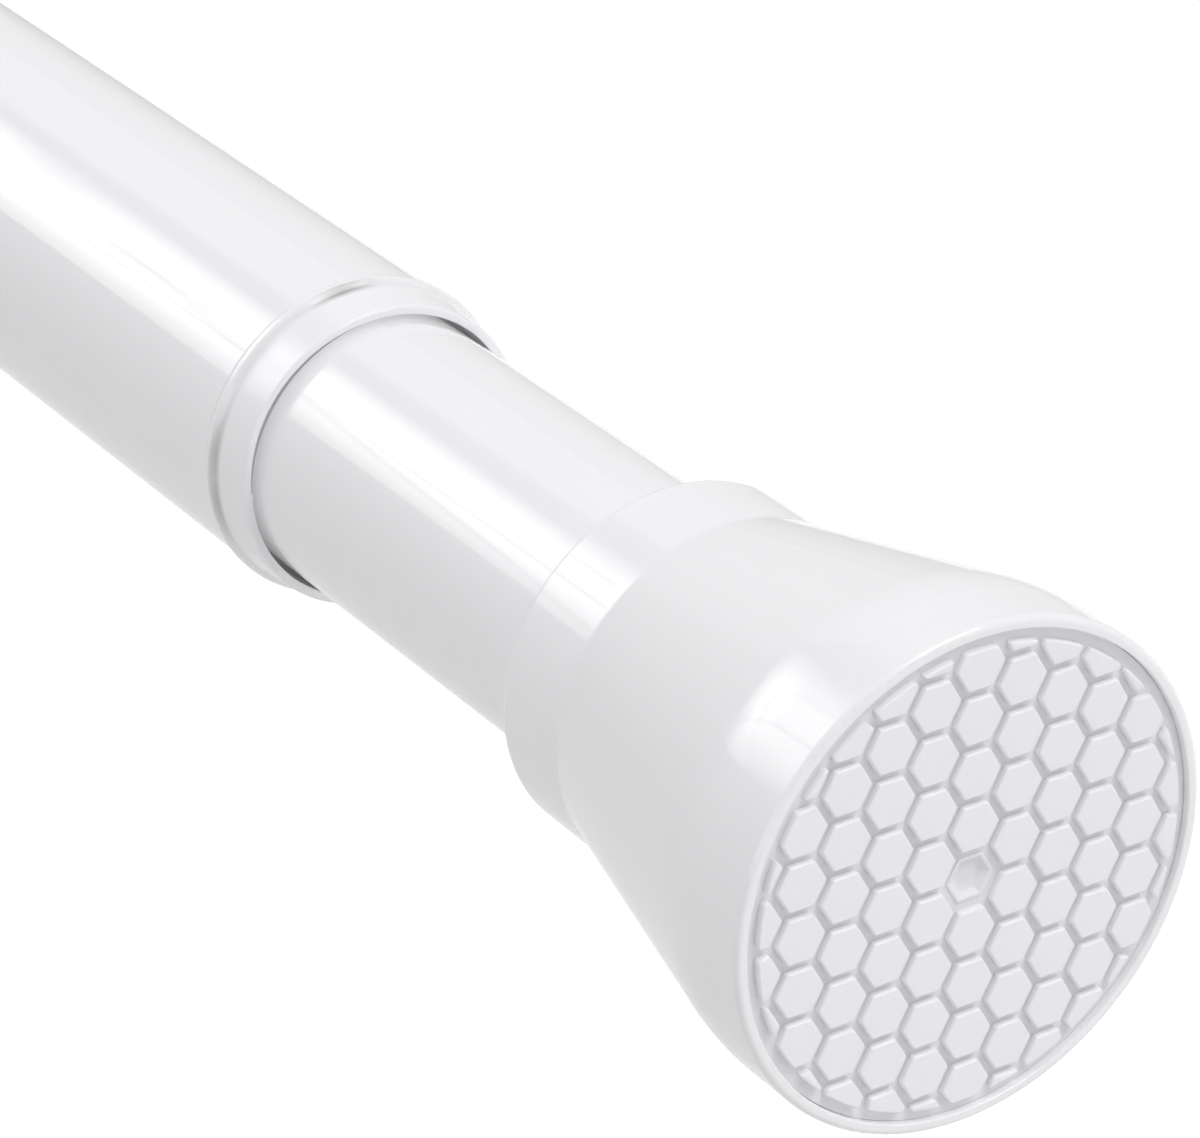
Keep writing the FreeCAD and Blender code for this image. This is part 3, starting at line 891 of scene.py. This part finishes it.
class ROD_OT_clear_collar(bpy.types.Operator):
    """Turn the clear collar on the open end of the outer tube"""
    bl_idname = "rod.clear_collar"
    bl_label = "Clear collar"

    def execute(self, context):
        sizes = context.scene.rod_collar
        low, high = low_high("clear_collar")
        bore_r = INNER_R + RUNNING_FIT
        sleeve_r = OUTER_R - TUBE_WALL
        rim_end = TUBE_END_X + COLLAR_RIM_WIDTH
        collar = turned([
            (low.x, bore_r, 0.0),
            (low.x, sleeve_r, SLEEVE_ROUNDING),
            (TUBE_END_X, sleeve_r, 0.0),
            (TUBE_END_X, sizes.rim_d / 2, RIM_ROUNDING),
            (rim_end, sizes.rim_d / 2, RIM_ROUNDING),
            (rim_end + sizes.groove_width, sizes.groove_d / 2, GROOVE_ROUNDING),
            (high.x - sizes.waist_inset, sizes.waist_d / 2, sizes.waist_round),
            (high.x, sizes.nose_d / 2, NOSE_ROUNDING),
            (high.x, sizes.mouth_d / 2, MOUTH_ROUNDING),
            (high.x - sizes.mouth_depth, sizes.mouth_d / 2, 0.0),
            (high.x - sizes.mouth_depth - sizes.mouth_taper, bore_r, 0.0),
        ])
        settled(collar, "collar", "clear_plastic", "outer", ["clear_collar"])
        return {"FINISHED"}


class ROD_OT_spring(bpy.types.Operator):
    """Wind the closed-ended spring between its seat and the plug"""
    bl_idname = "rod.spring"
    bl_label = "Spring"

    def execute(self, context):
        sizes = context.scene.rod_spring
        low, high = low_high("spring")
        count = sizes.turns * WIRE_STEPS
        shares = []
        for i in range(count):
            turns_in = (i + 0.5) / WIRE_STEPS
            from_end = min(turns_in, sizes.turns - turns_in) - sizes.closed_turns
            shares.append(min(max(from_end / sizes.opening_turns, 0.0), 1.0))
        closed_step = (sizes.wire_d + SPRING_END_GAP) / WIRE_STEPS
        open_length = high.x - low.x - sizes.wire_d - closed_step * count
        deselect_all()
        curve = bpy.data.curves.new("spring", "CURVE")
        curve.dimensions = "3D"
        curve.bevel_depth = sizes.wire_d / 2
        curve.bevel_resolution = WIRE_ROUNDNESS
        curve.use_fill_caps = True
        wire = curve.splines.new("POLY")
        wire.points.add(count)
        x = low.x + sizes.wire_d / 2
        mean_r = sizes.mean_d / 2
        for i in range(count + 1):
            angle = math.tau * i / WIRE_STEPS
            wire.points[i].co = (x, mean_r * math.cos(angle), mean_r * math.sin(angle), 1.0)
            if i < count:
                x += closed_step + open_length * shares[i] / sum(shares)
        spring = bpy.data.objects.new("spring_wire", curve)
        context.collection.objects.link(spring)
        spring.select_set(True)
        context.view_layer.objects.active = spring
        bpy.ops.object.convert(target="MESH")
        spring = context.object
        bpy.ops.object.mode_set(mode="EDIT")
        finish_edit()
        bpy.ops.object.shade_smooth_by_angle(angle=SHARP_WIRE_EDGE)
        settled(spring, "spring_wire", "steel", "inner", ["spring"])
        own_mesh(spring)
        return {"FINISHED"}


class ROD_OT_studio(bpy.types.Operator):
    """Set the pale floor, the soft lights and the photograph's camera"""
    bl_idname = "rod.studio"
    bl_label = "Studio"

    def execute(self, context):
        make_world(context.scene.rod_lights)
        make_floor(context.scene.rod_lights)
        make_camera()
        context.scene.view_settings.view_transform = "Standard"
        return {"FINISHED"}


def across(axes, normal):
    """How far a direction lies to one side of a plane through the object."""
    return axes["X"] * normal[0] + axes["Y"] * normal[1] + axes["Z"] * normal[2]


def round_light(shader, axes, direction, edge):
    """One in the middle of a round soft light, and nothing outside it."""
    return smooth_step(shader, across(axes, Vector(direction).normalized()), *edge)


def seen_through(first, second):
    """The normal of the plane through the object that holds two directions."""
    return Vector(first).cross(Vector(second)).normalized()


def about_rod(degrees):
    """The normal of a plane that holds the rod's axis; directions beyond the angle are positive."""
    angle = math.radians(degrees)
    return (0.0, -math.sin(angle), math.cos(angle))


def softbox(shader, axes, top, lights):
    """The square softbox that the long highlights show: where it is and how bright, with its seams."""
    bottom = across(axes, about_rod(lights.softbox_bottom)) * -1.0
    along = axes["X"] * -1.0
    mask = (smooth_step(shader, top, *TOP_EDGE) * smooth_step(shader, bottom, *BOTTOM_EDGE)
            * smooth_step(shader, along, *NEAR_EDGE) * smooth_step(shader, along, *FAR_EDGE))
    glow = lights.softbox
    edges = ((top, TOP_GLOW), (bottom, BOTTOM_GLOW), (along, NEAR_GLOW), (along, FAR_GLOW))
    for value, (rise, least) in edges:
        glow = between(smooth_step(shader, value, *rise), least, 1.0) * glow
    for first, second in SEAMS:
        away = across(axes, seen_through(first, second)).maths("ABSOLUTE")
        glow = glow * between(smooth_step(shader, away, *SEAM_EDGE), SEAM_GLOW, 1.0)
    return mask, glow


def make_world(lights):
    """Light from all sides, as the studio would send it; the camera itself sees plain white."""
    world = bpy.data.worlds.new("studio")
    bpy.context.scene.world = world
    world.use_nodes = True
    shader = Shader(world.node_tree)
    place = shader.add("ShaderNodeTexCoord")["Generated"]
    axes = shader.add("ShaderNodeSeparateXYZ", None, {"Vector": place})
    above = smooth_step(shader, axes["Z"], *HORIZON)
    panel = smooth_step(shader, across(axes, BACK_PANEL_EDGE), *PANEL_EDGE)
    top = across(axes, seen_through(*SOFTBOX_TOP))
    mask, glow = softbox(shader, axes, top, lights)
    slot = (smooth_step(shader, top, *SLOT_TOP) * (1.0 - panel)
            * smooth_step(shader, axes["X"] * -1.0, *SLOT_SIDE))
    wall = between(panel, lights.dark, lights.panel) * (1.0 - slot * SLOT_SHADE)
    dome = (wall * (1.0 - mask) + mask * glow
            + round_light(shader, axes, FILL_LIGHT, FILL_SPREAD) * lights.fill
            + round_light(shader, axes, EDGE_LIGHT, EDGE_SPREAD) * lights.edge)
    low = smooth_step(shader, across(axes, LOW_LIGHT), *LOW_SPREAD) * LOW_RADIANCE + lights.dark
    light = dome * above + low * (1.0 - above)
    seen = shader.add("ShaderNodeLightPath")["Is Camera Ray"]
    background = shader.add("ShaderNodeBackground", None,
                            {"Color": grey(shader, light * (1.0 - seen) + seen), "Strength": 1.0})
    shader.add("ShaderNodeOutputWorld", None, {"Surface": background["Background"]})


def floor_finish():
    """White paper that sends a little more light up on its far side and that the camera sees white."""
    material, shader = new_material("floor_white")
    side = smooth_step(shader, object_axes(shader)["Y"], *FLOOR_SIDE)
    paper = shader.add("ShaderNodeBsdfDiffuse", None, {"Color": FLOOR_PAPER})
    lift = shader.add("ShaderNodeEmission", None, {"Color": grey(shader, side * FLOOR_LIFT), "Strength": 1.0})
    lit = shader.add("ShaderNodeAddShader", None, {0: paper[0], 1: lift[0]})
    white = shader.add("ShaderNodeEmission", None, {"Color": WHITE, "Strength": FLOOR_SEEN})
    seen = shader.add("ShaderNodeLightPath")["Is Camera Ray"]
    mixed = shader.add("ShaderNodeMixShader", None, {0: seen * FLOOR_SEEN_SHARE, 1: lit[0], 2: white[0]})
    shader.add("ShaderNodeOutputMaterial", None, {"Surface": mixed[0]})
    return material


def make_floor(lights):
    """The round floor below the rod, a part of the stage."""
    deselect_all()
    bpy.ops.mesh.primitive_circle_add(
        vertices=FLOOR_CORNERS, radius=lights.floor_radius, fill_type="NGON",
        location=(FOOT_X / 2, 0.0, -lights.floor_drop))
    floor = bpy.context.object
    floor.name = "floor"
    bpy.ops.object.transform_apply(location=True, rotation=True, scale=True)
    floor.data.materials.append(floor_finish())


def make_camera():
    """The camera that took the photograph."""
    data = bpy.data.cameras.new("camera")
    camera = bpy.data.objects.new("camera", data)
    bpy.context.scene.collection.objects.link(camera)
    camera.location = Vector((FOOT_X, 0.0, 0.0)) + Vector(CAMERA_FROM_FOOT) * MM
    camera.rotation_euler = Vector(CAMERA_LOOKS).to_track_quat("-Z", "Y").to_euler()
    data.sensor_fit = "HORIZONTAL"
    data.sensor_width = SENSOR_WIDTH
    data.lens = CAMERA_LENS
    data.clip_start = CAMERA_CLIP
    bpy.context.scene.camera = camera


class ROD_PT_panel(bpy.types.Panel):
    """The rod's build steps"""
    bl_idname = "ROD_PT_panel"
    bl_label = "Spring Tension Rod"
    bl_space_type = "VIEW_3D"
    bl_region_type = "UI"
    bl_category = "Rod"

    def draw(self, context):
        for step in STEPS:
            self.layout.operator(step.bl_idname)


STEPS = (ROD_OT_finish_solids, ROD_OT_foot_pads, ROD_OT_clear_collar, ROD_OT_spring, ROD_OT_studio)
GROUPS = {
    "rod_colours": RodColours,
    "rod_pads": RodPads,
    "rod_collar": RodCollar,
    "rod_spring": RodSpring,
    "rod_lights": RodLights,
}


def register():
    for group in GROUPS.values():
        bpy.utils.register_class(group)
    for name, group in GROUPS.items():
        setattr(bpy.types.Scene, name, bpy.props.PointerProperty(type=group))
    for step in STEPS:
        bpy.utils.register_class(step)
    bpy.utils.register_class(ROD_PT_panel)


def unregister():
    bpy.utils.unregister_class(ROD_PT_panel)
    for step in reversed(STEPS):
        bpy.utils.unregister_class(step)
    for name, group in GROUPS.items():
        delattr(bpy.types.Scene, name)
        bpy.utils.unregister_class(group)


def main():
    register()
    for step in STEPS:
        space, name = step.bl_idname.split(".")
        getattr(getattr(bpy.ops, space), name)()


if __name__ == "__main__":
    main()
